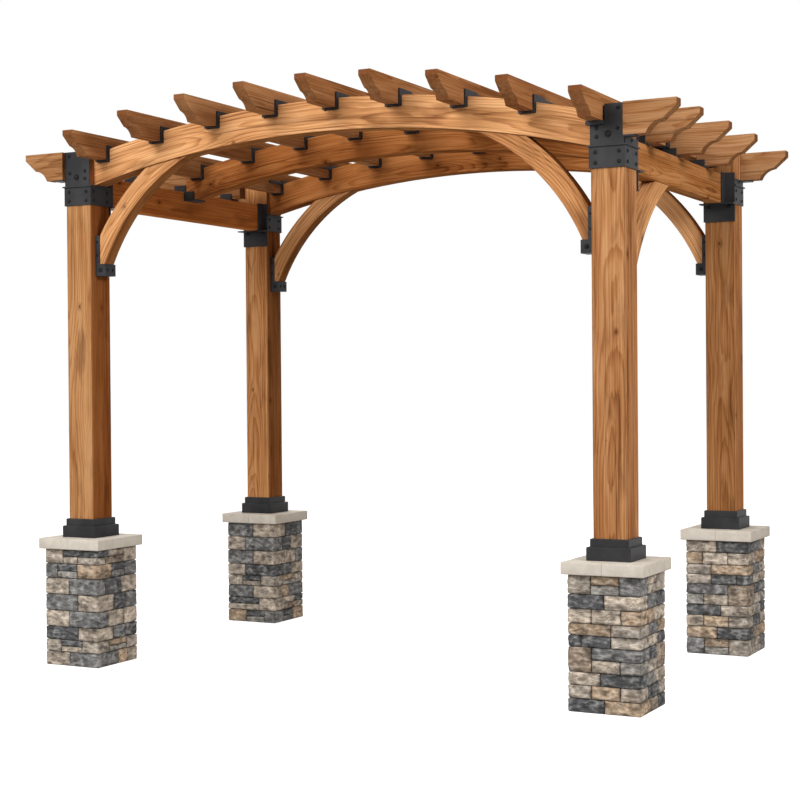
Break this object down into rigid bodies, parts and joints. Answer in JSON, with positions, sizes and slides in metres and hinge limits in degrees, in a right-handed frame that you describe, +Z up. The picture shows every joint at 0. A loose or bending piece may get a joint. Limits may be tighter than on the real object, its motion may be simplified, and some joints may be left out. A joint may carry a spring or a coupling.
{
  "type": "wooden pergola",
  "caption": "Open timber pergola: arched beams and shaped rafters on square posts, curved braces, black steel brackets and stone-clad piers.",
  "frame": {"origin": "middle of the plan, on the ground", "axes": "+X along the arched beams to the right, +Y along the rafters to the back, +Z up"},
  "size_m": [3.228, 2.173, 2.6258],
  "materials": {
    "timber": "satin stained cedar",
    "steel": "matt black powder coat",
    "stone": "rough split-face ledge stone",
    "cast_stone": "fine-grained cast stone"
  },
  "bodies": {
    "root": {"pier_front_left": "stone", "pier_cap_front_left": "cast_stone", "post_base_cover_front_left": "steel", "post_front_left": "timber", "post_bracket_front_left": "steel", "arch_brace_front_left": "timber", "pier_front_right": "stone", "pier_cap_front_right": "cast_stone", "post_base_cover_front_right": "steel", "post_front_right": "timber", "post_bracket_front_right": "steel", "arch_brace_front_right": "timber", "pier_back_left": "stone", "pier_cap_back_left": "cast_stone", "post_base_cover_back_left": "steel", "post_back_left": "timber", "post_bracket_back_left": "steel", "arch_brace_back_left": "timber", "pier_back_right": "stone", "pier_cap_back_right": "cast_stone", "post_base_cover_back_right": "steel", "post_back_right": "timber", "post_bracket_back_right": "steel", "arch_brace_back_right": "timber", "arch_beam_front": "timber", "arch_beam_middle": "timber", "arch_beam_back": "timber", "side_beam_left": "timber", "tails_left": "timber", "side_beam_right": "timber", "tails_right": "timber", "side_brace_right": "timber", "rafter_1": "timber", "rafter_2": "timber", "rafter_3": "timber", "rafter_4": "timber", "rafter_5": "timber", "rafter_6": "timber", "rafter_7": "timber", "rafter_8": "timber", "rafter_9": "timber", "rafter_saddles": "steel", "side_beam_seats": "steel", "brace_shoes": "steel"}
  },
  "joints": []
}
